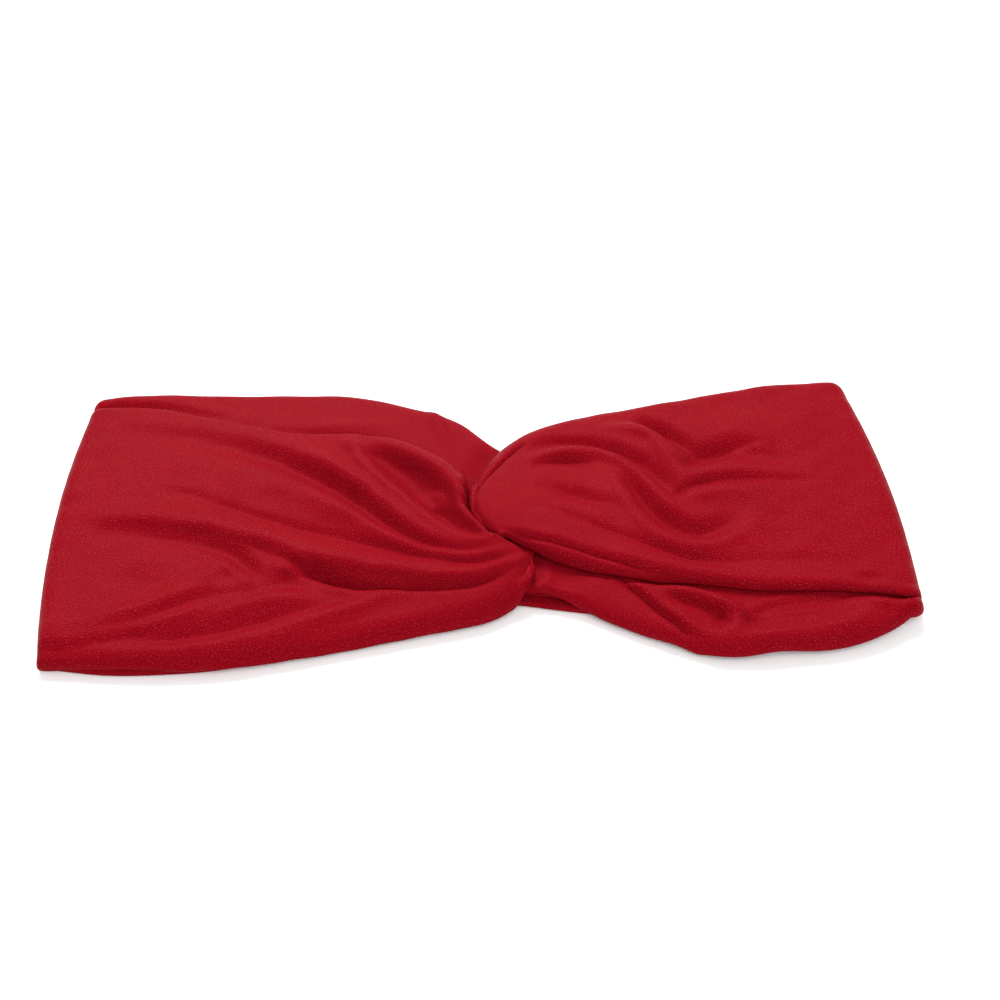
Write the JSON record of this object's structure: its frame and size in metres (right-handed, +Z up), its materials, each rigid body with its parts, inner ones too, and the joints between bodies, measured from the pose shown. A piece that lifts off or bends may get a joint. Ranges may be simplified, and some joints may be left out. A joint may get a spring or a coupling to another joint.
{
  "type": "sports headband",
  "caption": "Wide stretch headband of two knit tubes hooked through each other in a front twist and sewn together at the centre back, lying flat with the twist up.",
  "frame": {"origin": "middle of the band's footprint, on the surface that it lies on", "axes": "+X along the band to the right, +Y away from the near edge, +Z up out of the twisted front"},
  "size_m": [0.245, 0.115, 0.016],
  "materials": {
    "red_knit": "satin",
    "red_thread": "satin"
  },
  "bodies": {
    "root": {"left_loop": "red_knit", "right_loop": "red_knit", "left_tube_seam": "red_thread", "right_tube_seam": "red_thread", "back_seam_thread": "red_thread"}
  },
  "joints": []
}
